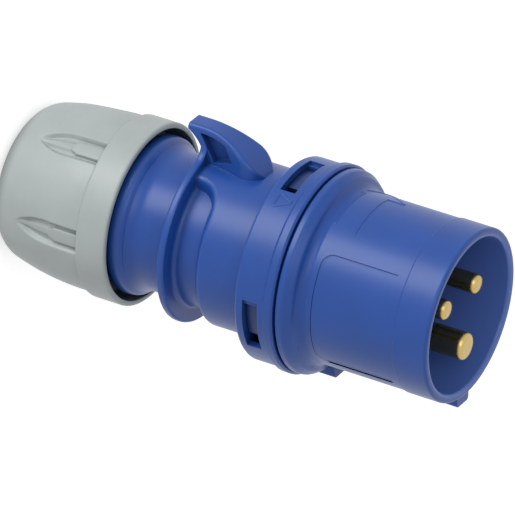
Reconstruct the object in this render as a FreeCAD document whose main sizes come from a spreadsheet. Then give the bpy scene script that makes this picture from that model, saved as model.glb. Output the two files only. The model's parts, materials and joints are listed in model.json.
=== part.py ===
"""Industrial pin and sleeve plug: three contacts in a round sleeve, a twist-on cable
housing with a hook on its back, and a cable gland with a fluted nut.

Millimetres.  The origin is on the long axis, in the middle of the cable entry, on the flat
back of the gland nut.  +Z runs along the axis to the open end of the sleeve, the hook
points to -Y and the key of the sleeve to +Y.  Angles round the axis start at the hook and
grow towards +X.
"""

import FreeCAD
import Part
import Sketcher
import math
import os
import re

doc = FreeCAD.newDocument("pin_and_sleeve_plug")
sheet = doc.addObject("Spreadsheet::Sheet", "sizes")

SIZES = {
    # Clearances, and how far cuts and added forms reach past or into a wall.
    "running_gap": 0.3,
    "seat_gap": 0.15,
    "press_gap": 0.05,
    "over_cut": 1.0,
    "root_depth": 0.6,

    # Gland nut: its walls and steps, each counted from the one inside it.
    "cable_hole_radius": 8.5,
    "nut_back_thickness": 4.0,
    "nut_length": 35.7,
    "nut_wall": 3.65,
    "nut_side_taper": 2.25,
    "nut_side_round": 88.0,
    "nut_corner_width": 5.9,
    "nut_corner_height": 4.5,
    "nut_corner_round": 6.5,
    "nut_ring_length": 8.5,
    "nut_ring_step": 0.75,
    "nut_ring_bevel": 0.5,
    "nut_ring_round": 0.7,
    "nut_ring_wall": 1.5,
    "nut_mouth_depth": 7.7,
    "nut_mouth_bevel": 1.5,
    "nut_cavity_step": 1.7,
    "flute_count": 6,
    "flute_half_width": 3.1,
    "flute_length": 17.7,
    "flute_taper_length": 9.0,
    "flute_depth": 1.4,
    "flute_channel": 0.75,
    "tongue_length": 8.8,
    "tongue_round": 0.9,
    "tongue_depth": 0.5,

    # Clamping parts in the gland.
    "collet_finger_count": 8,
    "collet_slot": 1.5,
    "collet_tip_wall": 2.4,
    "collet_taper": 2.2,
    "collet_finger_length": 9.0,
    "collet_flange_thickness": 1.8,
    "collet_spigot": 3.6,
    "ring_length": 9.6,
    "ring_travel": 2.4,
    "ring_bevel": 0.4,
    "seal_length": 12.4,
    "seal_bevel": 1.0,

    # Threaded neck and disc of the cable housing.
    "neck_margin": 1.8,
    "neck_wall": 3.5,
    "thread_run_out": 4.6,
    "thread_show": 1.0,
    "thread_pitch": 2.5,
    "thread_depth": 0.6,
    "flare_step": 1.0,
    "flare_length": 5.2,
    "flare_edge": 1.0,
    "neck_relief": 1.0,
    "neck_length": 8.1,
    "seal_ledge_width": 3.7,
    "seal_ledge_thickness": 2.0,
    "disc_step": 1.75,
    "disc_thickness": 2.0,
    "disc_round": 0.6,
    "disc_corner": 5.0,

    # Barrel, finger recess and collar of the cable housing.
    "barrel_step": 3.3,
    "barrel_wall": 2.55,
    "barrel_length": 14.1,
    "recess_length": 7.5,
    "recess_depth": 2.85,
    "recess_edge_round": 1.6,
    "recess_floor_round": 1.2,
    "saddle_half_width": 8.2,
    "saddle_round": 6.4,
    "collar_wall": 1.5,
    "collar_floor": 2.4,
    "collar_edge_round": 0.9,
    "collar_foot_round": 2.2,
    "collar_lip_height": 0.7,
    "collar_lip_length": 2.2,
    "channel_length": 4.1,
    "ledge_length": 3.0,
    "gasket_room": 1.4,
    "window_width": 33.0,
    "window_offset": 1.5,

    # Hook on the back of the cable housing.
    "hook_width": 5.8,
    "hook_height": 9.15,
    "hook_bend_radius": 21.5,
    "hook_tip_drop": 3.7,
    "hook_tip_width": 1.4,
    "hook_throat_width": 5.2,
    "hook_throat_round": 11.0,
    "hook_edge_round": 1.0,
    "hook_plate": 1.7,
    "hook_web": 1.6,
    "hook_flare_start": 1.0,
    "hook_foot_height": 13.2,
    "hook_foot_radius": 4.9,
    "hook_pocket_start": -0.3,
    "hook_pocket_rise": 7.0,
    "hook_pocket_peak": 9.4,
    "hook_pocket_shoulder": 3.9,
    "hook_pocket_standoff": 2.25,
    "hook_pocket_foot": 0.5,

    # Skirt of the sleeve and its bayonet.
    "skirt_step": 2.1,
    "skirt_wall": 1.9,
    "lug_height": 1.4,
    "lug_gap": 0.4,
    "lug_play": 0.5,
    "slide_gap": 0.2,
    "lug_width": 22.0,
    "lug_first": 3.0,
    "lug_second": 102.0,
    "twist_travel": 30.0,
    "notch_margin": 1.5,
    "stop_width": 5.0,
    "stop_margin": 1.0,

    # Flange, floor and sleeve round the contacts.
    "flange_lip": 2.0,
    "flange_face_step": 1.5,
    "flange_length": 3.9,
    "flange_round": 1.1,
    "flange_cove": 2.3,
    "flange_cove_round": 3.0,
    "flange_bevel": 0.45,
    "floor_setback": 0.8,
    "floor_thickness": 4.5,
    "sleeve_step": 1.25,
    "sleeve_wall": 2.05,
    "sleeve_depth": 36.0,
    "band_step": 0.25,
    "band_length": 9.3,
    "rim_round": 0.8,
    "key_width": 5.6,
    "key_height": 2.9,
    "key_round": 0.8,
    "key_lug_height": 1.6,
    "key_lug_length": 4.6,

    # Contacts.
    "pitch_radius": 8.75,
    "earth_pin_radius": 3.5,
    "line_pin_radius": 2.5,
    "earth_tip_setback": 0.3,
    "line_tip_setback": 2.1,
    "pin_tip_round": 0.9,
    "pin_shoulder": 1.5,
    "pin_shoulder_thickness": 2.0,
    "pin_seat_step": 0.3,
    "earth_wire_radius": 2.3,
    "line_wire_radius": 2.0,
    "wire_wall": 1.55,
    "wire_hole_depth": 11.0,
    "barrel_tail": 16.0,
    "clamp_screw_radius": 1.6,
    "clamp_screw_height": 5.5,
    "screw_head_radius": 2.6,
    "screw_head_length": 1.9,
    "screw_slot": 0.7,
    "leaf_thickness": 0.3,
    "leaf_width": 1.9,
    "leaf_length": 9.0,
    "leaf_lip": 2.2,
    "leaf_play": 0.03,

    # Contact carrier.
    "carrier_thickness": 3.0,
    "tower_wall": 1.5,
    "tower_length": 14.0,
    "hub_radius": 4.2,
    "carrier_screw_inset": 6.0,
    "carrier_screw_radius": 1.45,
    "carrier_screw_length": 6.3,
    "carrier_head_radius": 2.7,
    "carrier_head_length": 1.8,
}

# Radii and heights that follow from the sizes, so that pieces which meet share them.
PLACES = {
    # Radii, from the cable outwards.
    "seal_bore": "cable_hole_radius - running_gap",
    "collet_bore": "cable_hole_radius + running_gap",
    "collet_tip_radius": "collet_bore + collet_tip_wall",
    "collet_root_radius": "collet_tip_radius + collet_taper",
    "neck_bore": "collet_root_radius + neck_margin",
    "seal_ledge_bore": "neck_bore - seal_ledge_width",
    "thread_radius": "neck_bore + neck_wall",
    "thread_bore": "thread_radius + running_gap",
    "neck_radius": "thread_radius - neck_relief",
    "flare_radius": "thread_radius + flare_step",
    "nut_cavity_radius": "thread_bore - nut_cavity_step",
    "ring_radius": "nut_cavity_radius - running_gap",
    "nut_shell_radius": "thread_bore + nut_wall",
    "nut_corner_radius": "nut_shell_radius - nut_side_taper",
    "nut_face_radius": "nut_corner_radius - nut_corner_width",
    "nut_ring_radius": "nut_shell_radius + nut_ring_step",
    "nut_mouth_radius": "nut_ring_radius - nut_ring_wall",
    "flute_floor_radius": "nut_shell_radius - flute_depth",
    "tongue_radius": "nut_shell_radius - tongue_depth",
    "barrel_bore": "neck_bore + barrel_step",
    "barrel_radius": "barrel_bore + barrel_wall",
    "recess_radius": "barrel_radius - recess_depth",
    "disc_radius": "barrel_radius + disc_step",
    "skirt_bore": "barrel_bore + skirt_step",
    "skirt_radius": "skirt_bore + skirt_wall",
    "ledge_bore": "skirt_radius + running_gap",
    "lug_reach": "skirt_radius + lug_height",
    "channel_radius": "lug_reach + lug_gap",
    "collar_radius": "channel_radius + collar_wall",
    "collar_lip_radius": "collar_radius + collar_lip_height",
    "flange_face_radius": "collar_radius - flange_face_step",
    "sleeve_bore": "barrel_bore + sleeve_step",
    "sleeve_radius": "sleeve_bore + sleeve_wall",
    "band_radius": "sleeve_radius + band_step",
    "key_reach": "sleeve_radius + key_height",
    "key_lug_reach": "collar_radius + key_lug_height",
    "hook_reach": "barrel_radius + hook_height",
    "hook_centre": "hook_reach - hook_bend_radius",
    "hook_inner_radius": "hook_bend_radius - hook_plate",
    "hook_root": "barrel_radius - root_depth * 2.5",
    "carrier_radius": "skirt_bore - running_gap",
    "carrier_screw_circle": "skirt_bore - carrier_screw_inset",
    "earth_barrel_radius": "earth_wire_radius + wire_wall",
    "line_barrel_radius": "line_wire_radius + wire_wall",

    # Heights, from the back of the nut to the rim of the sleeve.
    "ring_back": "nut_back_thickness + running_gap",
    "ring_front": "ring_back + ring_length",
    "collet_root": "ring_front + ring_travel",
    "collet_tip": "collet_root - collet_finger_length",
    "neck_end": "collet_root + collet_flange_thickness",
    "thread_back": "neck_end - thread_run_out",
    "seal_back": "neck_end + collet_spigot",
    "seal_ledge": "seal_back + seal_length",
    "nut_mouth_back": "nut_length - nut_mouth_depth",
    "nut_ring_back": "nut_length - nut_ring_length",
    "flute_end": "nut_ring_back + nut_ring_bevel / 2",
    "flute_tip": "nut_ring_back - flute_length",
    "flute_shoulder": "flute_tip + flute_taper_length",
    "tongue_end": "nut_ring_back - tongue_length",
    "thread_front": "nut_length + thread_show",
    "thread_length": "thread_front - neck_end",
    "flare_front": "thread_front + flare_length",
    "disc_back": "flare_front + neck_length",
    "disc_front": "disc_back + disc_thickness",
    "recess_front": "disc_front + recess_length",
    "collar_back": "recess_front + barrel_length",
    "channel_back": "collar_back + collar_floor",
    "channel_front": "channel_back + channel_length",
    "ledge_front": "channel_front + ledge_length",
    "collar_front": "ledge_front + gasket_room",
    "flange_back": "collar_front + running_gap",
    "skirt_end": "channel_back + slide_gap",
    "lug_front": "channel_front - lug_play",
    "floor_back": "flange_back - floor_setback",
    "floor_front": "floor_back + floor_thickness",
    "sleeve_rim": "floor_front + sleeve_depth",
    "carrier_back": "floor_back - carrier_thickness",
    "tower_end": "carrier_back - tower_length",
    "barrel_end": "carrier_back - barrel_tail",
    "clamp_height": "barrel_end + clamp_screw_height",
    "hook_tip": "disc_back - hook_tip_drop",
}

# How close an edge lies to the place it is looked for.
EDGE_TOLERANCE = 0.02

entries = list(SIZES.items()) + [(alias, "=" + text) for alias, text in PLACES.items()]
for row, (alias, entry) in enumerate(entries, start=1):
    sheet.set("A%d" % row, alias)
    sheet.set("B%d" % row, str(entry))
    sheet.setAlias("B%d" % row, alias)
doc.recompute()


def size(text):
    """Expression with every size name pointing at its cell."""
    return re.sub(r"[a-z]+(?:_[a-z]+)+", lambda found: "sizes." + found.group(0), text)


def number(text):
    """Value of such an expression now."""
    return float(sheet.evalExpression(size(text)))


def new_body(name):
    body = doc.addObject("PartDesign::Body", name)
    body.Label = name
    return body


def plane_of(body, role):
    for feature in body.Origin.OriginFeatures:
        if feature.Role == role:
            return feature
    raise ValueError(role)


def new_sketch(body, name, role="XZ_Plane", turn=0.0, lift=None):
    """Sketch on an origin plane of the body, turned about the long axis or lifted off."""
    sketch = body.newObject("Sketcher::SketchObject", name)
    sketch.AttachmentSupport = [(plane_of(body, role), "")]
    sketch.MapMode = "FlatFace"
    if role == "XZ_Plane":
        rotation = FreeCAD.Rotation(FreeCAD.Vector(0, 1, 0), turn)
        sketch.AttachmentOffset = FreeCAD.Placement(FreeCAD.Vector(0, 0, 0), rotation)
    if lift is not None:
        sketch.setExpression("AttachmentOffset.Base.z", size(lift))
    return sketch


def hold(sketch, geometry, point, across, along):
    """Ties a point of the sketch to two expressions, its distances from the origin."""
    for kind, text, axis in (("DistanceX", across, -2), ("DistanceY", along, -1)):
        if text == "0":
            sketch.addConstraint(Sketcher.Constraint("PointOnObject", geometry, point, axis))
            continue
        index = sketch.addConstraint(
            Sketcher.Constraint(kind, -1, 1, geometry, point, number(text)))
        sketch.setExpression("Constraints[%d]" % index, size(text))


def bow(start, end, radius, side):
    """Arc between two points that bends to its left or right on the way."""
    chord = end - start
    rise = math.sqrt(radius ** 2 - chord.Length ** 2 / 4) / chord.Length
    if side == "right":
        rise = -rise
    centre = (start + end) / 2 + FreeCAD.Vector(-chord.y, chord.x, 0) * rise
    first, last = (start, end) if side == "left" else (end, start)
    angles = [math.atan2(spot.y - centre.y, spot.x - centre.x) for spot in (first, last)]
    return Part.ArcOfCircle(Part.Circle(centre, FreeCAD.Vector(0, 0, 1), radius), *angles)


def outline(sketch, corners):
    """Closed outline through the corners; two more entries bend the side after a corner."""
    spots = [FreeCAD.Vector(number(corner[0]), number(corner[1]), 0) for corner in corners]
    ends = []
    for i, corner in enumerate(corners):
        start = spots[i]
        end = spots[(i + 1) % len(corners)]
        if len(corner) == 2:
            index = sketch.addGeometry(Part.LineSegment(start, end), False)
            ends.append((index, 1, 2))
            continue
        radius, side = corner[2:]
        index = sketch.addGeometry(bow(start, end, number(radius), side), False)
        ends.append((index, 1, 2) if side == "left" else (index, 2, 1))
        bend = sketch.addConstraint(Sketcher.Constraint("Radius", index, number(radius)))
        sketch.setExpression("Constraints[%d]" % bend, size(radius))
    for i, (index, first, last) in enumerate(ends):
        following, start, other = ends[(i + 1) % len(ends)]
        sketch.addConstraint(Sketcher.Constraint("Coincident", index, last, following, start))
        hold(sketch, index, first, corners[i][0], corners[i][1])


def mirrored(corners):
    """Corners of one half and, in reverse order, those of the other side of the upright."""
    far = []
    for i in range(len(corners) - 1, -1, -1):
        across = "-%s" % corners[i][0]
        bend = corners[i - 1][2:] if i else ()
        if corners[i][0] != "0":
            far.append((across, corners[i][1]) + tuple(bend))
    return corners + far


def circle(sketch, across, along, radius):
    centre = FreeCAD.Vector(number(across), number(along), 0)
    index = sketch.addGeometry(
        Part.Circle(centre, FreeCAD.Vector(0, 0, 1), number(radius)), False)
    hold(sketch, index, 3, across, along)
    constraint = sketch.addConstraint(Sketcher.Constraint("Radius", index, number(radius)))
    sketch.setExpression("Constraints[%d]" % constraint, size(radius))


def turned(body, name, corners, kind="Revolution", angle=None, turn=0.0, axis="V_Axis"):
    """Revolved feature, whole or a sector, from an outline of radius and height."""
    sketch = new_sketch(body, name + "_outline", turn=turn)
    outline(sketch, corners)
    feature = body.newObject("PartDesign::" + kind, name)
    feature.Profile = sketch
    feature.ReferenceAxis = (sketch, [axis])
    if angle is not None:
        feature.Midplane = True
        feature.setExpression("Angle", size(angle))
    sketch.Visibility = False
    return feature


def drawn(body, name, sketch, length, kind="Pad", reverse=False, middle=False):
    feature = body.newObject("PartDesign::" + kind, name)
    feature.Profile = sketch
    feature.Reversed = reverse
    feature.Midplane = middle
    feature.setExpression("Length", size(length))
    return feature


def pattern(body, name, features, count):
    polar = body.newObject("PartDesign::PolarPattern", name)
    polar.Originals = features
    polar.Axis = (plane_of(body, "Z_Axis"), [""])
    polar.Angle = 360
    polar.Occurrences = int(count)
    body.Tip = polar
    return polar


def joined(kind, name, base, tool):
    """Boolean of two shapes of the document."""
    feature = doc.addObject("Part::" + kind, name)
    feature.Base = base
    feature.Tool = tool
    return feature


def ring_edges(shape, spots):
    """Names of the round edges that lie at each radius and height."""
    names = []
    for i, edge in enumerate(shape.Edges, start=1):
        curve = edge.Curve
        if not isinstance(curve, Part.Circle):
            continue
        for radius, height in spots:
            near = abs(curve.Radius - number(radius)) < EDGE_TOLERANCE
            if near and abs(curve.Center.z - number(height)) < EDGE_TOLERANCE:
                names.append("Edge%d" % i)
    return names


def softened(body, name, spots, radius, kind="Fillet"):
    """Rounds or bevels the ring edges at the given radii and heights."""
    doc.recompute()
    base = body.Tip
    names = ring_edges(base.Shape, spots)
    if not names:
        raise ValueError("no edges for " + name)
    feature = body.newObject("PartDesign::" + kind, name)
    feature.Base = (base, names)
    feature.setExpression("Radius" if kind == "Fillet" else "Size", size(radius))
    return feature


def set_at(body, across, along, height="0", turn=0.0):
    """Puts a piece beside the long axis at a height, turned about its own upright."""
    body.Placement = FreeCAD.Placement(
        FreeCAD.Vector(number(across), number(along), number(height)),
        FreeCAD.Rotation(FreeCAD.Vector(0, 0, 1), turn))
    for side, text in (("x", across), ("y", along), ("z", height)):
        body.setExpression("Placement.Base." + side, size(text))


def spot(radius, angle):
    """Place at a radius and an angle round the axis, counted from the hook."""
    return "(%s * sin(%s))" % (radius, angle), "(-%s * cos(%s))" % (radius, angle)


# Where the contacts and the screws between them stand, in degrees from the hook.
CONTACTS = {"live": 60, "earth": 180, "neutral": 300}
CARRIER_SCREWS = {"a": 0, "b": 120, "c": 240}


def key_section(body, name, reach):
    """Section of the key, rooted in the wall of the sleeve, with rounded outer corners."""
    sketch = new_sketch(body, name, "XY_Plane", lift="flange_back + flange_bevel")
    half = "(key_width / 2)"
    outline(sketch, mirrored([
        (half, "sleeve_radius - root_depth * 2"),
        (half, reach + " - key_round", "key_round", "left"),
        ("(key_width / 2 - key_round)", reach)]))
    return sketch


def front_sleeve():
    body = new_body("front_sleeve")
    turned(body, "sleeve_shell", [
        ("skirt_bore", "skirt_end"),
        ("skirt_radius", "skirt_end"),
        ("skirt_radius", "flange_back"),
        ("collar_radius", "flange_back"),
        ("collar_radius", "flange_back + flange_lip"),
        ("flange_face_radius", "flange_back + flange_length", "flange_cove_round", "right"),
        ("sleeve_radius", "flange_back + flange_length + flange_cove"),
        ("sleeve_radius", "sleeve_rim - band_length"),
        ("band_radius", "sleeve_rim - band_length + band_step"),
        ("band_radius", "sleeve_rim"),
        ("sleeve_bore", "sleeve_rim"),
        ("sleeve_bore", "floor_front"),
        ("0", "floor_front"),
        ("0", "floor_back"),
        ("skirt_bore", "floor_back"),
    ])
    softened(body, "rim_rounding",
             [("band_radius", "sleeve_rim"), ("sleeve_bore", "sleeve_rim")], "rim_round")
    softened(body, "flange_rounding", [
        ("collar_radius", "flange_back + flange_lip"),
        ("flange_face_radius", "flange_back + flange_length")], "flange_round")
    softened(body, "flange_edge", [("collar_radius", "flange_back")], "flange_bevel", "Chamfer")

    drawn(body, "key", key_section(body, "key_outline", "key_reach"),
          "(sleeve_rim - rim_round - flange_back - flange_bevel)")
    drawn(body, "key_lug", key_section(body, "key_lug_outline", "key_lug_reach"),
          "key_lug_length")

    corners = [("skirt_radius - root_depth", "skirt_end"), ("lug_reach", "skirt_end"),
               ("lug_reach", "lug_front"), ("skirt_radius - root_depth", "lug_front")]
    for name, angle in (("first", "lug_first"), ("second", "lug_second")):
        lugs = turned(body, name + "_lug", corners, angle="lug_width",
                      turn=number(angle) - 90)
        pattern(body, name + "_lugs", [lugs], 2)

    holes = new_sketch(body, "pin_holes_outline", "XY_Plane", lift="floor_back")
    for name, angle in CONTACTS.items():
        pin = contact_names(name)[0]
        circle(holes, *spot("pitch_radius", angle), pin + " + pin_seat_step + press_gap")
    drawn(body, "pin_holes", holes, "floor_thickness", "Pocket", reverse=True)
    pilots = new_sketch(body, "pilot_holes_outline", "XY_Plane", lift="floor_back")
    for angle in CARRIER_SCREWS.values():
        circle(pilots, *spot("carrier_screw_circle", angle), "carrier_screw_radius + press_gap")
    drawn(body, "pilot_holes", pilots,
          "carrier_screw_length - carrier_thickness + seat_gap", "Pocket", reverse=True)
    return body


def housing_shell():
    """Turned wall of the cable housing with its thread grooves, windows and bayonet."""
    body = new_body("rear_housing_blank")
    step = "(flare_radius - neck_radius)"
    bell = "((%s^2 + (flare_length - flare_edge)^2) / (2 * %s))" % (step, step)
    turned(body, "housing_shell", [
        ("channel_radius", "collar_front"),
        ("collar_lip_radius", "collar_front"),
        ("collar_lip_radius", "collar_front - collar_lip_length"),
        ("collar_radius", "collar_front - collar_lip_length - collar_lip_height"),
        ("collar_radius", "collar_back"),
        ("barrel_radius", "collar_back"),
        ("barrel_radius", "disc_back"),
        ("neck_radius", "disc_back"),
        ("neck_radius", "flare_front", bell, "left"),
        ("flare_radius", "thread_front + flare_edge"),
        ("flare_radius", "thread_front"),
        ("thread_radius", "thread_front"),
        ("thread_radius", "neck_end"),
        ("neck_bore", "neck_end"),
        ("neck_bore", "seal_ledge"),
        ("seal_ledge_bore", "seal_ledge"),
        ("seal_ledge_bore", "seal_ledge + seal_ledge_thickness"),
        ("neck_bore", "seal_ledge + seal_ledge_thickness"),
        ("neck_bore", "recess_front"),
        ("barrel_bore", "recess_front + barrel_step"),
        ("barrel_bore", "channel_back"),
        ("channel_radius", "channel_back"),
        ("channel_radius", "channel_front"),
        ("ledge_bore", "channel_front"),
        ("ledge_bore", "ledge_front"),
        ("channel_radius", "ledge_front"),
    ])
    softened(body, "collar_edge", [("collar_radius", "collar_back")], "collar_edge_round")
    softened(body, "collar_foot", [("barrel_radius", "collar_back")], "collar_foot_round")
    softened(body, "collar_lip_edge", [("collar_lip_radius", "collar_front")],
             "flange_bevel", "Chamfer")

    # Disc, with a hollow corner on both sides where it runs into the hook.
    disc = new_sketch(body, "disc_outline", "XY_Plane", lift="disc_back")
    far = "(disc_radius + disc_corner)"
    away = "(hook_width / 2 + disc_corner)"
    down = "sqrt(%s^2 - %s^2)" % (far, away)
    outline(disc, mirrored([
        ("(hook_width / 2)", "-" + down, "disc_corner", "right"),
        ("(%s * disc_radius / %s)" % (away, far), "-%s * disc_radius / %s" % (down, far),
         "disc_radius", "left"),
        ("0", "disc_radius", "disc_radius", "left")]))
    circle(disc, "0", "0", "neck_radius - root_depth")
    drawn(body, "disc", disc, "disc_thickness")
    softened(body, "disc_edges", [("disc_radius", "disc_front"), ("disc_radius", "disc_back"),
                                  ("disc_corner", "disc_front"), ("disc_corner", "disc_back")],
             "disc_round")

    grooves = int(number("thread_length / thread_pitch")) - 1
    for i in range(grooves):
        middle = "(neck_end + (%d + 0.5) * thread_pitch)" % i
        turned(body, "thread_groove_%d" % i, [
            ("thread_radius - thread_depth", middle + " - thread_pitch * 0.1"),
            ("thread_radius + press_gap", middle + " - thread_pitch * 0.25"),
            ("thread_radius + press_gap", middle + " + thread_pitch * 0.25"),
            ("thread_radius - thread_depth", middle + " + thread_pitch * 0.1")], "Groove")

    window = [("channel_radius - root_depth", "channel_back"),
              ("collar_radius + over_cut", "channel_back"),
              ("collar_radius + over_cut", "channel_front"),
              ("channel_radius - root_depth", "channel_front")]
    notch = [("ledge_bore - over_cut", "channel_front - root_depth"),
             ("channel_radius", "channel_front - root_depth"),
             ("channel_radius", "ledge_front + root_depth"),
             ("ledge_bore - over_cut", "ledge_front + root_depth")]
    stop = [("ledge_bore", "channel_back - root_depth"),
            ("channel_radius + root_depth", "channel_back - root_depth"),
            ("channel_radius + root_depth", "channel_front + root_depth"),
            ("ledge_bore", "channel_front + root_depth")]
    for name, angle in (("first", "lug_first"), ("second", "lug_second")):
        rest = number(angle) - 90
        reach = number("lug_width / 2 + stop_margin + stop_width / 2")
        travel = number("twist_travel")
        cut = turned(body, name + "_window", window, "Groove", "window_width",
                     rest + number("window_offset"))
        pattern(body, name + "_windows", [cut], 2)
        entry = turned(body, name + "_notch", notch, "Groove", "lug_width + 2 * notch_margin",
                       rest + travel)
        pattern(body, name + "_notches", [entry], 2)
        for side, place in (("closed", rest - reach), ("open", rest + travel + reach)):
            rib = turned(body, "%s_%s_stop" % (name, side), stop, angle="stop_width", turn=place)
            pattern(body, "%s_%s_stops" % (name, side), [rib], 2)
    return body


def recess_cutter():
    """Ring that takes out the finger recess, with a gap left for the saddle of the hook."""
    body = new_body("recess_cutter")
    turned(body, "recess_ring", [
        ("recess_radius", "disc_front"),
        ("disc_radius + over_cut", "disc_front"),
        ("disc_radius + over_cut", "recess_front"),
        ("recess_radius", "recess_front")])
    softened(body, "floor_rounding",
             [("recess_radius", "disc_front"), ("recess_radius", "recess_front")],
             "recess_floor_round")
    saddle = new_sketch(body, "saddle_outline")
    wide = "(saddle_half_width + saddle_round)"
    outline(saddle, mirrored([
        ("saddle_half_width", "disc_front - over_cut"),
        ("saddle_half_width", "recess_front - saddle_round", "saddle_round", "right"),
        (wide, "recess_front"),
        (wide, "recess_front + over_cut")]))
    drawn(body, "saddle", saddle, "disc_radius + 2 * over_cut", "Pocket", reverse=True)
    return body


def curve_spots(edge):
    """Three places along an edge."""
    start, end = edge.ParameterRange
    return [edge.valueAt(start + (end - start) * share) for share in (0.1, 0.5, 0.9)]


def saddle_edges(shape):
    """Edges where the wall of the barrel breaks off at the recess and beside the saddle."""
    numbers = []
    for i, edge in enumerate(shape.Edges, start=1):
        spots = curve_spots(edge)
        on_wall = all(abs(math.hypot(s.x, s.y) - number("barrel_radius")) < EDGE_TOLERANCE
                      for s in spots)
        if on_wall and all(number("disc_front") + EDGE_TOLERANCE < s.z
                           < number("recess_front") + EDGE_TOLERANCE for s in spots):
            numbers.append(i)
    return numbers


def rounded(name, base, choose, radius):
    """Fillet of the chosen edges of a boolean's result."""
    doc.recompute()
    numbers = choose(base.Shape)
    if not numbers:
        raise ValueError("no edges for " + name)
    feature = doc.addObject("Part::Fillet", name)
    feature.Base = base
    feature.Edges = [(i, number(radius), number(radius)) for i in numbers]
    return feature


def hook_form():
    """Hook without its hollows: its side view met by its view from outside."""
    body = new_body("hook_side")
    side = new_sketch(body, "hook_outline", "YZ_Plane")
    foot = "(disc_back + sqrt(hook_bend_radius^2 - (hook_root - hook_centre)^2))"
    outline(side, [
        ("-(hook_reach - hook_tip_width)", "hook_tip"),
        ("-hook_reach", "hook_tip"),
        ("-hook_reach", "disc_back", "hook_bend_radius", "right"),
        ("-hook_root", foot),
        ("-hook_root", "disc_back"),
        ("-(hook_reach - hook_throat_width)", "disc_back", "hook_throat_round", "left")])
    drawn(body, "side_view", side, "4 * hook_foot_radius", middle=True)

    front = new_body("hook_front")
    view = new_sketch(front, "front_outline")
    centre = "(disc_back + hook_foot_height)"
    rise = "(hook_foot_height - hook_flare_start)"
    flare = ("(((hook_width / 2)^2 + %s^2 - hook_foot_radius^2)"
             " / (2 * hook_foot_radius - hook_width))" % rise)
    share = "hook_foot_radius / (%s + hook_foot_radius)" % flare
    outline(view, mirrored([
        ("(hook_width / 2)", "hook_tip - over_cut"),
        ("(hook_width / 2)", centre + " - " + rise, flare, "right"),
        ("((hook_width / 2 + %s) * %s)" % (flare, share),
         "%s - %s * %s" % (centre, rise, share), "hook_foot_radius", "left"),
        ("0", centre + " + hook_foot_radius", "hook_foot_radius", "left")]))
    drawn(front, "front_view", view, "hook_reach + over_cut")
    return joined("Common", "hook_form", body, front)


def bend_edges(shape):
    """Edges of the hook along the outside of its bend."""
    numbers = []
    centre = FreeCAD.Vector(0, -number("hook_centre"), number("disc_back"))
    for i, edge in enumerate(shape.Edges, start=1):
        spots = [s - centre for s in curve_spots(edge)]
        bent = all(abs(math.hypot(s.y, s.z) - number("hook_bend_radius")) < EDGE_TOLERANCE
                   for s in spots)
        if bent and all(s.z > 0 for s in spots):
            numbers.append(i)
    return numbers


def hook_pockets():
    """Hollow on each side of the hook, which leaves a web between its two plates."""
    body = new_body("hook_pockets")
    bend = "sqrt(hook_inner_radius^2 - %s^2)"
    for name, flip in (("left", False), ("right", True)):
        pocket = new_sketch(body, name + "_pocket_outline", "YZ_Plane",
                            lift=("-" if flip else "") + "hook_web / 2")
        outline(pocket, [
            ("-(hook_centre + %s)" % (bend % "hook_pocket_start"),
             "disc_back + hook_pocket_start", "hook_inner_radius", "right"),
            ("-(hook_centre + %s)" % (bend % "hook_pocket_rise"),
             "disc_back + hook_pocket_rise"),
            ("-(barrel_radius + hook_pocket_standoff)", "disc_back + hook_pocket_peak"),
            ("-(barrel_radius + hook_pocket_foot)", "disc_back + hook_pocket_shoulder")])
        drawn(body, name + "_pocket", pocket, "2 * hook_foot_radius", reverse=flip)
    return body


def rear_housing():
    shell = housing_shell()
    recessed = joined("Cut", "recessed_housing", shell, recess_cutter())
    saddled = rounded("saddled_housing", recessed, saddle_edges, "recess_edge_round")
    hook = rounded("rounded_hook", hook_form(), bend_edges, "hook_edge_round")
    hooked = joined("Fuse", "hooked_housing", saddled, hook)
    housing = joined("Cut", "rear_housing", hooked, hook_pockets())
    housing.Refine = True
    return housing


def gland_nut():
    body = new_body("gland_nut")
    turned(body, "nut_shell", [
        ("cable_hole_radius", "0"),
        ("nut_face_radius", "0", "nut_corner_round", "left"),
        ("nut_corner_radius", "nut_corner_height", "nut_side_round", "left"),
        ("nut_shell_radius", "nut_ring_back"),
        ("nut_ring_radius", "nut_ring_back + nut_ring_bevel"),
        ("nut_ring_radius", "nut_length"),
        ("nut_mouth_radius", "nut_length"),
        ("nut_mouth_radius", "nut_mouth_back"),
        ("thread_bore", "nut_mouth_back - nut_mouth_bevel"),
        ("thread_bore", "thread_back"),
        ("nut_cavity_radius", "thread_back"),
        ("nut_cavity_radius", "nut_back_thickness"),
        ("cable_hole_radius", "nut_back_thickness"),
    ])
    softened(body, "ring_rounding", [("nut_ring_radius", "nut_length")], "nut_ring_round")

    half = "flute_half_width"
    ogive = "((flute_half_width^2 + flute_taper_length^2) / (2 * flute_half_width))"
    tongue = "(flute_half_width - flute_channel)"
    leaf = [("0", "flute_tip", ogive, "left"), (half, "flute_shoulder"), (half, "flute_end")]
    deep = new_sketch(body, "flute_outline", "YZ_Plane", lift="flute_floor_radius")
    outline(deep, mirrored(leaf + [
        (tongue, "flute_end"),
        (tongue, "tongue_end + tongue_round", "tongue_round", "right"),
        ("(flute_half_width - flute_channel - tongue_round)", "tongue_end")]))
    shallow = new_sketch(body, "tongue_outline", "YZ_Plane", lift="tongue_radius")
    outline(shallow, mirrored(leaf))
    cuts = [drawn(body, "flute", deep, "nut_wall", "Pocket", reverse=True),
            drawn(body, "tongue_top", shallow, "nut_wall", "Pocket", reverse=True)]
    pattern(body, "flutes", cuts, number("flute_count"))
    return body


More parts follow.
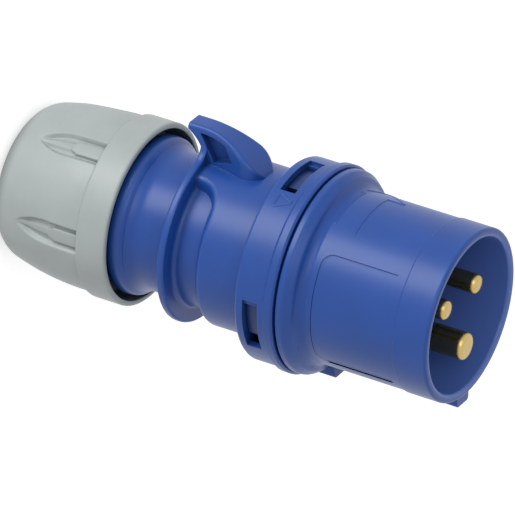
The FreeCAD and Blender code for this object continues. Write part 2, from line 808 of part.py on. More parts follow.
def thrust_ring():
    body = new_body("thrust_ring")
    wall = ("(collet_tip_radius + running_gap"
            " + collet_taper * (%s - collet_tip) / collet_finger_length)")
    turned(body, "wedge", [
        (wall % "ring_back", "ring_back"),
        ("ring_radius", "ring_back"),
        ("ring_radius", "ring_front"),
        (wall % "ring_front", "ring_front"),
    ])
    softened(body, "edges", [("ring_radius", "ring_back"), ("ring_radius", "ring_front")],
             "ring_bevel", "Chamfer")
    return body


def clamp_collet():
    body = new_body("clamp_collet")
    turned(body, "collet_shell", [
        ("collet_bore", "collet_tip"),
        ("collet_tip_radius", "collet_tip"),
        ("collet_root_radius", "collet_root"),
        ("ring_radius", "collet_root"),
        ("ring_radius", "neck_end"),
        ("neck_bore - seat_gap", "neck_end"),
        ("neck_bore - seat_gap", "seal_back"),
        ("collet_bore", "seal_back"),
    ])
    slot = new_sketch(body, "slot_outline", "XY_Plane", lift="collet_tip - over_cut")
    outline(slot, [("collet_bore - over_cut", "-collet_slot / 2"),
                   ("collet_root_radius + over_cut", "-collet_slot / 2"),
                   ("collet_root_radius + over_cut", "collet_slot / 2"),
                   ("collet_bore - over_cut", "collet_slot / 2")])
    cut = drawn(body, "slot", slot, "collet_finger_length + over_cut", "Pocket", reverse=True)
    pattern(body, "slots", [cut], number("collet_finger_count"))
    return body


def cable_seal():
    body = new_body("cable_seal")
    turned(body, "bush", [
        ("seal_bore", "seal_back + seal_bevel"),
        ("seal_bore + seal_bevel", "seal_back"),
        ("neck_bore - running_gap", "seal_back"),
        ("neck_bore - running_gap", "seal_ledge"),
        ("seal_bore + seal_bevel", "seal_ledge"),
        ("seal_bore", "seal_ledge - seal_bevel"),
    ])
    return body


def housing_gasket():
    body = new_body("housing_gasket")
    turned(body, "gasket", [
        ("skirt_radius + press_gap", "ledge_front + running_gap"),
        ("channel_radius - running_gap", "ledge_front + running_gap"),
        ("channel_radius - running_gap", "flange_back"),
        ("skirt_radius + press_gap", "flange_back"),
    ])
    return body


def contact_names(name):
    """Names of the radii of a contact: its pin, its barrel and the hole for the wire."""
    kind = "earth" if name == "earth" else "line"
    return kind + "_pin_radius", kind + "_barrel_radius", kind + "_wire_radius"


def contact_carrier():
    body = new_body("contact_carrier")
    turned(body, "plate", [
        ("0", "carrier_back"), ("carrier_radius", "carrier_back"),
        ("carrier_radius", "floor_back"), ("0", "floor_back")])
    towers = new_sketch(body, "hub_outline", "XY_Plane", lift="carrier_back")
    circle(towers, "0", "0", "hub_radius")
    drawn(body, "hub", towers, "tower_length", reverse=True)
    for name, angle in CONTACTS.items():
        barrel = contact_names(name)[1]
        foot = new_sketch(body, name + "_tower_outline", "XY_Plane", lift="carrier_back")
        circle(foot, *spot("pitch_radius", angle), barrel + " + seat_gap + tower_wall")
        drawn(body, name + "_tower", foot, "tower_length", reverse=True)
    for name, angle in CONTACTS.items():
        pin, barrel = contact_names(name)[:2]
        bore = new_sketch(body, name + "_bore_outline", "XY_Plane", lift="tower_end")
        circle(bore, *spot("pitch_radius", angle), barrel + " + seat_gap")
        drawn(body, name + "_bore", bore, "tower_length + carrier_thickness", "Pocket",
              reverse=True)
        seat = new_sketch(body, name + "_seat_outline", "XY_Plane",
                          lift="floor_back - pin_shoulder_thickness")
        circle(seat, *spot("pitch_radius", angle), pin + " + pin_shoulder + seat_gap")
        drawn(body, name + "_seat", seat, "pin_shoulder_thickness", "Pocket", reverse=True)
        window = new_sketch(body, name + "_screw_window_outline", turn=angle - 90)
        head = "(screw_head_radius + running_gap)"
        outline(window, [("pitch_radius", "tower_end - over_cut"),
                         ("pitch_radius * 2", "tower_end - over_cut"),
                         ("pitch_radius * 2", "clamp_height + " + head),
                         ("pitch_radius", "clamp_height + " + head)])
        drawn(body, name + "_screw_window", window, "2 * " + head, "Pocket", middle=True)
    holes = new_sketch(body, "screw_holes_outline", "XY_Plane", lift="carrier_back")
    for angle in CARRIER_SCREWS.values():
        circle(holes, *spot("carrier_screw_circle", angle), "carrier_screw_radius + seat_gap")
    drawn(body, "screw_holes", holes, "carrier_thickness", "Pocket", reverse=True)
    return body


def contact_pin(name, angle):
    """Turned contact with its shoulder, and a barrel at the back for the conductor."""
    pin, barrel, wire = contact_names(name)
    setback = "earth_tip_setback" if name == "earth" else "line_tip_setback"
    tip = "(sleeve_rim - %s)" % setback
    shoulder = "(floor_back - pin_shoulder_thickness)"
    body = new_body(name + "_pin")
    turned(body, name + "_turning", [
        ("0", tip),
        ("0", "barrel_end + wire_hole_depth"),
        (wire, "barrel_end + wire_hole_depth"),
        (wire, "barrel_end"),
        (barrel, "barrel_end"),
        (barrel, shoulder),
        (pin + " + pin_shoulder", shoulder),
        (pin + " + pin_shoulder", "floor_back"),
        (pin + " + pin_seat_step", "floor_back"),
        (pin + " + pin_seat_step", "floor_front"),
        (pin, "floor_front"),
        (pin, tip)])
    softened(body, name + "_tip", [(pin, tip)], "pin_tip_round")
    hole = new_sketch(body, name + "_thread_outline", "YZ_Plane")
    circle(hole, "0", "clamp_height", "clamp_screw_radius")
    drawn(body, name + "_thread", hole, barrel + " + over_cut", "Pocket", reverse=True)
    set_at(body, *spot("pitch_radius", angle), turn=angle - 90)
    return body


def leaf_face(name):
    """Distance of the leaf's outer face from the contact's own axis."""
    wire = contact_names(name)[2]
    return "(sqrt(%s^2 - leaf_width^2 / 4) - leaf_play)" % wire


def clamp_screw(name, angle):
    """Cheese-head screw that enters the barrel from outside and holds the conductor."""
    barrel = contact_names(name)[1]
    tip = leaf_face(name) + " + leaf_play"
    shank = "clamp_screw_radius - press_gap"
    head = "(%s + seat_gap)" % barrel
    end = "(%s + screw_head_length)" % head
    body = new_body(name + "_screw")
    turned(body, name + "_screw_turning", [
        (tip, "0"), (end, "0"), (end, "screw_head_radius"), (head, "screw_head_radius"),
        (head, shank), (tip, shank)], axis="H_Axis")
    slot = new_sketch(body, name + "_slot_outline")
    outline(slot, [(end + " - screw_slot", "-screw_slot / 2"),
                   (end + " + over_cut", "-screw_slot / 2"),
                   (end + " + over_cut", "screw_slot / 2"),
                   (end + " - screw_slot", "screw_slot / 2")])
    drawn(body, name + "_slot", slot, "3 * screw_head_radius", "Pocket", middle=True)
    set_at(body, *spot("pitch_radius", angle), height="clamp_height", turn=angle - 90)
    return body


def wire_leaf(name, angle):
    """Thin bent leaf between the screw's tip and the strands."""
    face = leaf_face(name)
    body = new_body(name + "_leaf")
    bend = new_sketch(body, name + "_leaf_outline")
    outline(bend, [
        (face + " - leaf_thickness", "leaf_length"),
        (face + " - leaf_thickness", "-press_gap - leaf_thickness"),
        (face + " + leaf_lip", "-press_gap - leaf_thickness"),
        (face + " + leaf_lip", "-press_gap"),
        (face, "-press_gap"),
        (face, "leaf_length")])
    drawn(body, name + "_strip", bend, "leaf_width", middle=True)
    set_at(body, *spot("pitch_radius", angle), height="barrel_end", turn=angle - 90)
    return body


def carrier_screw(name, angle):
    """Self-tapping screw that holds the carrier against the floor of the sleeve."""
    body = new_body("carrier_screw_" + name)
    turned(body, "carrier_turning_" + name, [
        ("0", "-carrier_head_length"),
        ("carrier_head_radius * 0.6", "-carrier_head_length"),
        ("carrier_head_radius", "-carrier_head_length * 0.6"),
        ("carrier_head_radius", "0"),
        ("carrier_screw_radius", "0"),
        ("carrier_screw_radius", "carrier_screw_length - carrier_screw_radius"),
        ("0", "carrier_screw_length")])
    for turn in (0, 90):
        blade = new_sketch(body, "recess_%d_%s" % (turn, name), turn=turn)
        outline(blade, mirrored([
            ("(screw_slot / 2)", "-carrier_head_length / 3"),
            ("carrier_screw_radius", "-carrier_head_length - over_cut")]))
        drawn(body, "recess_cut_%d_%s" % (turn, name), blade, "screw_slot * 0.7", "Pocket",
              middle=True)
    set_at(body, *spot("carrier_screw_circle", angle), height="carrier_back")
    return body


def build():
    pieces = [front_sleeve(), rear_housing(), gland_nut(), thrust_ring(), clamp_collet(),
              cable_seal(), housing_gasket(), contact_carrier()]
    for name, angle in CONTACTS.items():
        pieces += [contact_pin(name, angle), clamp_screw(name, angle), wire_leaf(name, angle)]
    for name, angle in CARRIER_SCREWS.items():
        pieces.append(carrier_screw(name, angle))
    return pieces


pieces = build()
doc.recompute()
for thing in doc.Objects:
    if "Invalid" in thing.State or "Error" in thing.State:
        raise RuntimeError("failed: " + thing.Name)
os.makedirs("parts", exist_ok=True)
for piece in pieces:
    if piece.Shape.isNull() or not piece.Shape.isValid():
        raise RuntimeError("bad shape: " + piece.Label)
    piece.Shape.exportStep("parts/%s.step" % piece.Label)
    print(piece.Label, len(piece.Shape.Solids), round(piece.Shape.Volume, 1))
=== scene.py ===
"""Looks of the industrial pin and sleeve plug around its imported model.

Lengths are in millimetres, turned into Blender's metres by MM. Round the axis, an angle of
0 degrees is the hook's side, and height counts from the back of the gland nut.
"""
import json
import math

import bpy
from mathutils import Matrix, Vector

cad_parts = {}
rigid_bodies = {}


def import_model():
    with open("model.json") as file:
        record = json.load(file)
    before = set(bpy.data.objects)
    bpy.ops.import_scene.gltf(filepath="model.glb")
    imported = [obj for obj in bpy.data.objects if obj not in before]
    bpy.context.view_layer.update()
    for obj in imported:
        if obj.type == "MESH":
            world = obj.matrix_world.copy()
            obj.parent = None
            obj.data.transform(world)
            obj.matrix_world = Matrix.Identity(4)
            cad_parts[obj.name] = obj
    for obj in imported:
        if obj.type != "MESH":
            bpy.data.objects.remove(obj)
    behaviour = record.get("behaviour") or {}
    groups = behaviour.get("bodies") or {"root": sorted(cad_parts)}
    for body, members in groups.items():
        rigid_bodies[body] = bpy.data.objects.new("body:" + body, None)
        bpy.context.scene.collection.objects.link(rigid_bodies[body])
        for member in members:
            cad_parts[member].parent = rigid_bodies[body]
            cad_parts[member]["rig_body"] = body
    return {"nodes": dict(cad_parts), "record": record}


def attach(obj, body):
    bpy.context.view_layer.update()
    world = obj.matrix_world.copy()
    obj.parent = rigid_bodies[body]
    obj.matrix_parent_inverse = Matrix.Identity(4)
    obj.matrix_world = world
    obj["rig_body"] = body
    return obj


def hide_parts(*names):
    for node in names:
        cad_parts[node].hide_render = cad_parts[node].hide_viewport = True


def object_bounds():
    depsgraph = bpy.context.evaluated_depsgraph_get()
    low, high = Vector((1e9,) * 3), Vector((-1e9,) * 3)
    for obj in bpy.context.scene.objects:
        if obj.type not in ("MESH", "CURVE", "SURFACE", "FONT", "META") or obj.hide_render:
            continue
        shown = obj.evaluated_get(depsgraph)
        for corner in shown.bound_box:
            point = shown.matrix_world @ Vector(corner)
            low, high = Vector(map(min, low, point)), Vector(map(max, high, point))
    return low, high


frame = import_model()
cad_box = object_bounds()
nodes = frame["nodes"]
MM = 0.001
bpy.context.scene.view_settings.view_transform = "Standard"

# Walls that the pieces follow, and a height between the collar and the flange, below which
# the sleeve's colour carries a painted shade.
SLEEVE_R = 21.8
COLLAR_R = 25.8
COLLAR_GAP = 84.6


# Camera

# Focal length, middle of the picture and middle of the sleeve's rim, in photograph pixels.
FOCAL = 8500.0
MIDDLE = 257.5
RIM_AT = (470.4, 316.2)
# Pixels per millimetre at the rim, the rim's height, and the direction and roll of the axis.
SCALE = 4.165
RIM_HEIGHT = cad_box[1][2] / MM
TILT = math.radians(65.02)
SWING = math.radians(17.74)
ROLL = math.radians(33.0)
# Width of the film in millimetres, and the nearest and farthest sight in metres.
SENSOR = 36.0
NEAR = 0.1
FAR = 8.0


def aim_camera():
    """Make the camera of the photograph, and return what is right, down and ahead in it."""
    along = Vector((math.sin(TILT) * math.cos(SWING), math.sin(TILT) * math.sin(SWING),
                    -math.cos(TILT)))
    flat = Vector((-math.sin(SWING), math.cos(SWING), 0))
    key = math.cos(ROLL) * flat + math.sin(ROLL) * along.cross(flat)
    side = key.cross(along)
    right, down, ahead = (Vector((side[i], key[i], along[i])) for i in range(3))
    place = Vector((0, 0, RIM_HEIGHT))
    place -= (RIM_AT[0] - MIDDLE) / SCALE * right
    place -= (RIM_AT[1] - MIDDLE) / SCALE * down
    place -= FOCAL / SCALE * ahead
    turn = Matrix((right, -down, -ahead)).transposed()
    data = bpy.data.cameras.new("camera")
    data.sensor_width = SENSOR
    data.lens = FOCAL / (2 * MIDDLE) * SENSOR
    data.clip_start = NEAR
    data.clip_end = FAR
    camera = bpy.data.objects.new("camera", data)
    camera.matrix_world = Matrix.Translation(place * MM) @ turn.to_4x4()
    bpy.context.scene.collection.objects.link(camera)
    bpy.context.scene.camera = camera
    return right, down, ahead


RIGHT, DOWN, AHEAD = aim_camera()


# Stage: white floor and surround, a soft box on the hook's side and a weaker fill

# Middle of the part, at which the lamps point.
HEART = Vector((0, 0, 65 * MM))
# Each lamp's direction to the right, down and ahead in the picture, then metres and watts.
SOFT_BOX = {"towards": (-0.564, -0.612, -0.556), "distance": 0.75, "size": (0.4, 0.36),
            "power": 2.8}
FRONT_FILL = {"towards": (0.25, -0.1, -0.95), "distance": 0.9, "size": (0.5, 0.5),
              "power": 1.5}
# Strength of the world as seen, and as it lights the part.
WORLD_SEEN = 1.0
WORLD_LIGHT = 0.53
# The floor's half width in metres, how far it lies under the part, its tone and its glow.
FLOOR_REACH = 3.0
FLOOR_GAP = 0.05
FLOOR_TONE = 0.8
FLOOR_GLOW = 0.62


def add(tree, kind, inputs=None, **settings):
    """Add a shader node, with its settings and with values or linked sockets as inputs."""
    node = tree.nodes.new("ShaderNode" + kind)
    for name, value in settings.items():
        setattr(node, name, value)
    for name, value in (inputs or {}).items():
        if isinstance(value, bpy.types.NodeSocket):
            tree.links.new(value, node.inputs[name])
        else:
            node.inputs[name].default_value = value
    return node


def by_ray(tree, unseen, seen):
    """Shader that is the second one on camera, glossy and transmission rays."""
    path = add(tree, "LightPath")
    share = path.outputs["Is Camera Ray"]
    for ray in ("Is Glossy Ray", "Is Transmission Ray"):
        larger = add(tree, "Math", {0: share, 1: path.outputs[ray]}, operation="MAXIMUM")
        share = larger.outputs[0]
    return add(tree, "MixShader", {0: share, 1: unseen.outputs[0], 2: seen.outputs[0]})


def area_light(name, towards, distance, size, power):
    """Rectangular lamp that points at the middle of the part."""
    data = bpy.data.lights.new(name, "AREA")
    data.shape = "RECTANGLE"
    data.size, data.size_y = size
    data.energy = power
    way = towards[0] * RIGHT + towards[1] * DOWN + towards[2] * AHEAD
    lamp = bpy.data.objects.new(name, data)
    lamp.location = HEART + way * distance
    lamp.rotation_euler = (-way).to_track_quat("-Z", "Y").to_euler()
    bpy.context.scene.collection.objects.link(lamp)
    return lamp


def white_world():
    """White surround that is dimmer as a light than it looks."""
    world = bpy.data.worlds.new("surround")
    bpy.context.scene.world = world
    world.use_nodes = True
    tree = world.node_tree
    tree.nodes.clear()
    dim, bright = (add(tree, "Background", {"Color": (1, 1, 1, 1), "Strength": strength})
                   for strength in (WORLD_LIGHT, WORLD_SEEN))
    add(tree, "OutputWorld", {"Surface": by_ray(tree, dim, bright).outputs[0]})


def white_floor():
    """Floor that looks brighter than it lights the part, and keeps the part's shadow."""
    mesh = bpy.data.meshes.new("floor")
    corners = [(x * FLOOR_REACH, y * FLOOR_REACH, -FLOOR_GAP * MM)
               for x, y in ((-1, -1), (1, -1), (1, 1), (-1, 1))]
    mesh.from_pydata(corners, [], [(0, 1, 2, 3)])
    floor = bpy.data.objects.new("floor", mesh)
    bpy.context.scene.collection.objects.link(floor)
    material = bpy.data.materials.new("floor_white")
    material.use_nodes = True
    tree = material.node_tree
    tree.nodes.clear()
    matte = add(tree, "BsdfDiffuse", {"Color": (FLOOR_TONE, FLOOR_TONE, FLOOR_TONE, 1)})
    glow = add(tree, "Emission", {"Color": (1, 1, 1, 1), "Strength": FLOOR_GLOW})
    bright = add(tree, "AddShader", {0: matte.outputs[0], 1: glow.outputs[0]})
    add(tree, "OutputMaterial", {"Surface": by_ray(tree, matte, bright).outputs[0]})
    mesh.materials.append(material)
    return floor


def build_stage():
    """Lamps, surround and floor. The soft box is below the floor, which doesn't block it."""
    soft_box = area_light("soft_box", **SOFT_BOX)
    area_light("front_fill", **FRONT_FILL)
    white_world()
    clear = bpy.data.collections.new("soft_box_clear")
    clear.objects.link(white_floor())
    soft_box.light_linking.blocker_collection = clear
    clear.collection_objects[0].light_linking.link_state = "EXCLUDE"


# Materials

# Plastic: its mottling as a share, the clouds' scale, detail and middle range of values.
MOTTLE = 0.04
CLOUD_SCALE = 90.0
CLOUD_DETAIL = 3.0
CLOUD_LOW = 0.35
CLOUD_HIGH = 0.65
# Its grain: scale, detail, height and how far the roughness varies, and its softened edges.
GRAIN_SCALE = 4200.0
GRAIN_DETAIL = 2.0
GRAIN_HEIGHT = 0.03
GRAIN_GLOSS = (-0.05, 0.05)
PLASTIC_EDGE = 0.25
PLASTIC_IOR = 1.5
# Its recesses, whose shade is painted into the colour from ambient occlusion: reach of that
# shade, how open they are at full and at no shade, and the share of colour left at full shade.
RECESS_REACH = 8.0
RECESS_DEEP = 0.1
RECESS_OPEN = 0.7
RECESS_LEFT = 0.35
# The share of colour left by the painted shade inside another piece, and the blend at its end.
INSIDE_LEFT = 0.5
INSIDE_BLEND = 0.2
# The bore's paler colour, a painted light, gives way to the shell's between these depths in
# the sleeve's wall.
BORE_LIGHT_FROM = 1.6
BORE_LIGHT_TO = 0.8
# Metal: stretch, detail and height of its tool marks, how they change colour and roughness.
MARK_SCALE = (60.0, 60.0, 2600.0)
MARK_DETAIL = 2.0
MARK_HEIGHT = 0.01
MARK_TONES = (0.9, 1.06)
MARK_GLOSS = (-0.06, 0.08)


def srgb(red, green, blue):
    """Linear colour of an 8-bit one."""
    tone = [c / 255 for c in (red, green, blue)]
    return tuple(c / 12.92 if c < 0.04045 else ((c + 0.055) / 1.055) ** 2.4 for c in tone) + (1,)


def blank(name):
    """New material with its node tree and its shader."""
    material = bpy.data.materials.new(name)
    material.use_nodes = True
    tree = material.node_tree
    return material, tree, tree.nodes["Principled BSDF"]


def skin(tree, shader, relief, rough, gloss, strength, height, edge, samples):
    """Varying roughness and fine bumps from one noise, on edges softened by a radius.

    The roughness varies by the two values of gloss, and the bumps have a strength and height.
    """
    spread = add(tree, "MapRange", {"Value": relief, "To Min": rough + gloss[0],
                                    "To Max": rough + gloss[1]})
    tree.links.new(spread.outputs["Result"], shader.inputs["Roughness"])
    corner = add(tree, "Bevel", {"Radius": edge * MM}, samples=samples)
    bumps = add(tree, "Bump", {"Strength": strength, "Distance": height * MM,
                               "Height": relief, "Normal": corner.outputs["Normal"]})
    tree.links.new(bumps.outputs["Normal"], shader.inputs["Normal"])


def mottled(tree, where, colour):
    """Colour with faint cloudy mottling."""
    cloud = add(tree, "TexNoise", {"Scale": CLOUD_SCALE, "Detail": CLOUD_DETAIL,
                                   "Vector": where})
    ramp = add(tree, "ValToRGB", {"Fac": cloud.outputs["Fac"]})
    low, high = ramp.color_ramp.elements
    low.position = CLOUD_LOW
    low.color = (*[c * (1 - MOTTLE) for c in colour[:3]], 1)
    high.position = CLOUD_HIGH
    high.color = (*[min(1.0, c * (1 + MOTTLE)) for c in colour[:3]], 1)
    return ramp.outputs["Color"]


def painted_bore_light(tree, where, tone, bore_light_colour):
    """Tone of the outside, with a paler colour painted in the bore as light, told by the radius.
    """
    flat = add(tree, "VectorMath", {0: where, 1: (1, 1, 0)}, operation="MULTIPLY")
    radius = add(tree, "VectorMath", {0: flat.outputs["Vector"]}, operation="LENGTH")
    wall = add(tree, "MapRange", {"Value": radius.outputs["Value"],
                                  "From Min": (SLEEVE_R - BORE_LIGHT_FROM) * MM,
                                  "From Max": (SLEEVE_R - BORE_LIGHT_TO) * MM})
    mix = add(tree, "Mix", {"Factor": wall.outputs["Result"], "A": bore_light_colour, "B": tone},
              data_type="RGBA")
    return mix.outputs["Result"]


def shade(tree, where, inside):
    """Share of colour left by a painted shade in recesses and, below a height, inside another
    piece.
    """
    nook = add(tree, "AmbientOcclusion", {"Distance": RECESS_REACH * MM}, samples=8)
    depth = add(tree, "MapRange", {"Value": nook.outputs["AO"], "From Min": RECESS_DEEP,
                                   "From Max": RECESS_OPEN, "To Min": RECESS_LEFT})
    if inside is None:
        return depth.outputs["Result"]
    height = add(tree, "SeparateXYZ", {"Vector": where}).outputs["Z"]
    cover = add(tree, "MapRange", {"Value": height, "From Min": (inside - INSIDE_BLEND) * MM,
                                   "From Max": (inside + INSIDE_BLEND) * MM,
                                   "To Min": INSIDE_LEFT})
    both = add(tree, "Math", {0: depth.outputs["Result"], 1: cover.outputs["Result"]},
               operation="MULTIPLY")
    return both.outputs[0]


def plastic(name, colour, rough, grain=0.25, shine=0.4, inside=None, bore_light_colour=None):
    """Moulded plastic with spark-eroded grain, faint mottling and a painted shade in its
    recesses.

    Below the height inside, where the piece lies in another one, its colour carries a painted
    shade; the bore's colour, when given, is a painted light that makes the bore paler.
    """
    material, tree, shader = blank(name)
    where = add(tree, "TexCoord").outputs["Object"]
    tone = mottled(tree, where, colour)
    # Painted light: a paler colour in the bore.
    if bore_light_colour is not None:
        tone = painted_bore_light(tree, where, tone, bore_light_colour)
    # Painted shade: the tone is multiplied by the share left in recesses and inside another
    # piece.
    base = add(tree, "Mix", {"Factor": 1.0, "A": tone, "B": shade(tree, where, inside)},
               data_type="RGBA", blend_type="MULTIPLY")
    tree.links.new(base.outputs["Result"], shader.inputs["Base Color"])
    fine = add(tree, "TexNoise", {"Scale": GRAIN_SCALE, "Detail": GRAIN_DETAIL,
                                  "Vector": where})
    skin(tree, shader, fine.outputs["Fac"], rough, GRAIN_GLOSS, grain, GRAIN_HEIGHT,
         PLASTIC_EDGE, samples=6)
    shader.inputs["IOR"].default_value = PLASTIC_IOR
    shader.inputs["Specular IOR Level"].default_value = shine
    return material


def metal(name, colour, rough, ring=0.0, edge=0.15):
    """Turned or plated metal with fine tool marks round its axis."""
    material, tree, shader = blank(name)
    shader.inputs["Metallic"].default_value = 1.0
    where = add(tree, "TexCoord").outputs["Object"]
    stretch = add(tree, "Mapping", {"Vector": where, "Scale": MARK_SCALE})
    marks = add(tree, "TexNoise", {"Scale": 1.0, "Detail": MARK_DETAIL,
                                   "Vector": stretch.outputs["Vector"]})
    tint = add(tree, "ValToRGB", {"Fac": marks.outputs["Fac"]})
    low, high = tint.color_ramp.elements
    low.color = (*[c * MARK_TONES[0] for c in colour[:3]], 1)
    high.color = (*[min(1.0, c * MARK_TONES[1]) for c in colour[:3]], 1)
    tree.links.new(tint.outputs["Color"], shader.inputs["Base Color"])
    skin(tree, shader, marks.outputs["Fac"], rough, MARK_GLOSS, ring, MARK_HEIGHT, edge,
         samples=8)
    return material


SHELL = srgb(28, 73, 153)
BLUE = plastic("blue_shell_look", SHELL, rough=0.36)
# The sleeve's blue carries a painted shade where it lies in the collar, and a paler blue in its
# bore as painted light.
SLEEVE_PAINTED_BLUE = plastic("blue_sleeve_painted_light_and_shade_look", SHELL, rough=0.36, inside=COLLAR_GAP,
                      bore_light_colour=srgb(79, 109, 184))
# A dark blue that stands for the shade at a groove's bottom: painted shade.
GROOVE_SHADE_BLUE = plastic("blue_groove_painted_shade_look", srgb(20, 42, 98), rough=0.5, shine=0.1)
# A near-black blue that stands for the shade in the slit: painted shade.
SLIT_SHADE_BLUE = plastic("blue_slit_painted_shade_look", srgb(12, 22, 52), rough=0.9, shine=0.0)
GREY = plastic("grey_nut_look", srgb(167, 175, 174), rough=0.4)
WHITE = plastic("white_plastic_look", srgb(222, 222, 216), rough=0.45)
DARK = plastic("dark_carrier_look", srgb(52, 52, 56), rough=0.5, grain=0.5)
RUBBER = plastic("black_rubber_look", srgb(28, 28, 29), rough=0.62, grain=0.6)
BRASS = metal("brass_contact_look", srgb(200, 174, 111), 0.22, ring=0.3, edge=1.8)
ZINC = metal("zinc_steel_look", srgb(205, 205, 202), 0.3, ring=0.3)
SPRING = metal("spring_steel_look", srgb(190, 190, 192), 0.26)

LOOKS = {"blue_shell": BLUE, "grey_nut": GREY, "white_plastic": WHITE, "dark_carrier": DARK,
         "black_rubber": RUBBER, "brass_contact": BRASS, "zinc_steel": ZINC,
         "spring_steel": SPRING}


def dress():
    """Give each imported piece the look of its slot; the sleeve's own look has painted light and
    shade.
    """
    for part in frame["record"]["subparts"]:
        materials = nodes[part["node"]].data.materials
        materials.clear()
        sleeve = part["node"] == "front_sleeve"
        materials.append(SLEEVE_PAINTED_BLUE if sleeve else LOOKS[part["material_slot"]])


dress()
build_stage()


# Pieces in general

def on_wall(radius, angle, height):
    """Point at an angle from the hook towards the right, on a wall of that radius."""
    turn = math.radians(angle)
    return Vector((radius * math.sin(turn), -radius * math.cos(turn), height)) * MM


def piece(name, verts, faces, looks, body):
    """Smooth piece that rides on a body."""
    mesh = bpy.data.meshes.new(name)
    mesh.from_pydata(verts, [], faces)
    for look in looks:
        mesh.materials.append(look)
    for face in mesh.polygons:
        face.use_smooth = True
    mesh.update()
    made = bpy.data.objects.new(name, mesh)
    bpy.context.scene.collection.objects.link(made)
    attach(made, body)
    return made


def rings(name, verts, rows, count, look, body):
    """Closed piece of revolution from rows of points, each once round the axis."""
    faces = []
    for i in range(rows):
        j = (i + 1) % rows
        for k in range(count):
            n = (k + 1) % count
            faces.append((i * count + k, i * count + n, j * count + n, j * count + k))
    return piece(name, verts, faces, (look,), body)


HOUSING = nodes["rear_housing"]["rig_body"]
SLEEVE = nodes["front_sleeve"]["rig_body"]
NUT = nodes["gland_nut"]["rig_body"]


# Sculpted gland nut, in place of the plain one

# The nut's outside: flat back, rounded shoulder, body and the ring at its mouth.
HOLE_R = 8.5
BACK_R = 13.8
SHOULDER = (20.0, 5.0)
BODY_R = 22.65
RING_BACK = 27.2
RING_R = 23.4
MOUTH = 35.7
MOUTH_EDGE = 0.7
SHOULDER_BEND = 7.5
SHOULDER_STEPS = 14
BODY_BEND = 75.0
BODY_STEPS = 76
# Its inside: the mouth, the thread's bore, the room of the thrust ring and the floor.
MOUTH_BORE = 21.9
THREAD_BORE = 19.0
ROOM_BORE = 17.3
ROOM_TOP = 13.5
FLOOR_TOP = 4.0
# Six flutes, the first towards +X: heights of the tip and of full width, half that width,
# depth, how far before the tip the depth begins and over what length, and the sides' width.
FLUTES = 6
PITCH = 360.0 / FLUTES
NUT_TURN = 90.0
FLUTE_TIP = 8.4
FLUTE_FULL = 18.5
FLUTE_HALF = 3.45
FLUTE_DEPTH = 1.3
FLUTE_LEAD = 0.5
FLUTE_RAMP = 5.0
FLUTE_SIDE = 1.0
# Crest along a flute's middle: its depth as a share, and its flat and slope in half widths.
CREST_DEPTH = 0.62
CREST_FLAT = 0.16
CREST_SLOPE = 0.34
# Round-headed tongue that comes out of the ring over the crest.
TONGUE_HEAD = 18.4
TONGUE_ROUND = 1.5
TONGUE_HALF = 1.6
TONGUE_EDGE = 0.6
TONGUE_DEPTH = 0.5
# Degrees to each side of a flute's middle in fine steps, their step, and the steps between.
FINE_HALF = 11.9
FINE_STEP = 0.35
PLAIN_STEPS = 15
# Length too small to see, which keeps a division or a comparison safe.
TINY = 0.01


def bulge(start, end, radius, count):
    """Points of an arc from start to end that bends to the outside, without its end."""
    start = Vector(start)
    end = Vector(end)
    run = end - start
    height = math.sqrt(radius ** 2 - (run.length / 2) ** 2)
    centre = (start + end) / 2 + Vector((-run[1], run[0])).normalized() * height
    first = math.atan2(start[1] - centre[1], start[0] - centre[0])
    last = math.atan2(end[1] - centre[1], end[0] - centre[0])
    return [centre + radius * Vector((math.cos(a), math.sin(a)))
            for a in (first + (last - first) * k / count for k in range(count))]


def straight(start, end, count):
    """Evenly spaced points from start to end, without its end."""
    return [Vector(start).lerp(Vector(end), k / count) for k in range(count)]


def eased(share):
    """Share from 0 to 1 that starts and ends gently."""
    share = max(0.0, min(1.0, share))
    return share * share * (3 - 2 * share)


def flute_half(height):
    """Half the width of a flute, whose tip narrows in two arcs."""
    if height >= FLUTE_FULL:
        return FLUTE_HALF
    taper = FLUTE_FULL - FLUTE_TIP
    bend = (FLUTE_HALF ** 2 + taper ** 2) / (2 * FLUTE_HALF)
    return math.sqrt(bend ** 2 - (height - FLUTE_FULL) ** 2) - (bend - FLUTE_HALF)


def flute_depth(across, height):
    """Depth of a flute at a distance from its middle line."""
    across = abs(across)
    if height < FLUTE_TIP or height > RING_BACK or across >= flute_half(height):
        return 0.0
    half = flute_half(height)
    depth = FLUTE_DEPTH * eased((height - FLUTE_TIP + FLUTE_LEAD) / FLUTE_RAMP)
    cut = depth * eased((half - across) / FLUTE_SIDE)
    slope = eased((across - CREST_FLAT * half) / (CREST_SLOPE * half + TINY))
    cut -= min(cut, depth * (1 - CREST_DEPTH)) * (1 - slope)
    round_part = TONGUE_ROUND ** 2 - min(across, TONGUE_ROUND) ** 2
    head = TONGUE_HEAD + TONGUE_ROUND - math.sqrt(round_part)
    tongue = eased((height - head) / TONGUE_EDGE)
    tongue *= 1 - eased((across - TONGUE_HALF) / TONGUE_EDGE)
    return cut * (1 - tongue) + min(cut, TONGUE_DEPTH) * tongue


